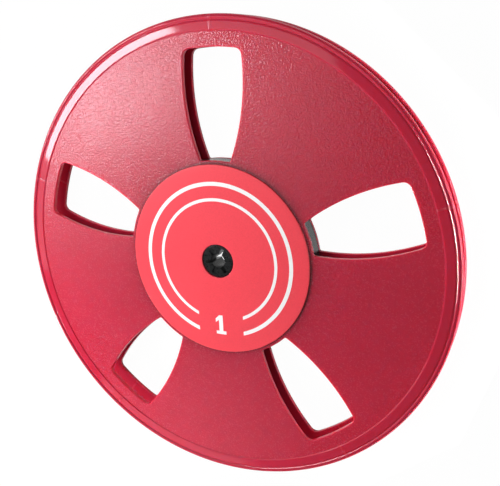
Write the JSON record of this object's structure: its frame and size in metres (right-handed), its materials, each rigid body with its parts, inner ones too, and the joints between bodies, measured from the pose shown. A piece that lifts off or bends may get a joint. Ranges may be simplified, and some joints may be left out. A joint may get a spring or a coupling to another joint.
{
  "type": "audio tape reel",
  "caption": "Empty tape reel lying flat: translucent windowed flanges on a ribbed hub with a slotted spindle bore and round labels.",
  "frame": {"origin": "on the spindle axis at the rear label's outer face, which the reel lies on", "axes": "+Z along the spindle axis towards the front label, +Y through the middle of one window"},
  "size_m": [0.2666, 0.2666, 0.0144],
  "materials": {
    "flange_red": "translucent crimson moulding, matte web with a polished band and bead",
    "hub_black": "satin black moulding",
    "label_red": "satin coral red with white print",
    "screw_steel": "plain zinc plated steel"
  },
  "bodies": {
    "root": {"front_flange": "flange_red", "rear_flange": "flange_red", "hub_core": "hub_black", "front_label": "label_red", "rear_label": "label_red", "front_screws": "screw_steel", "rear_screws": "screw_steel"}
  },
  "joints": []
}
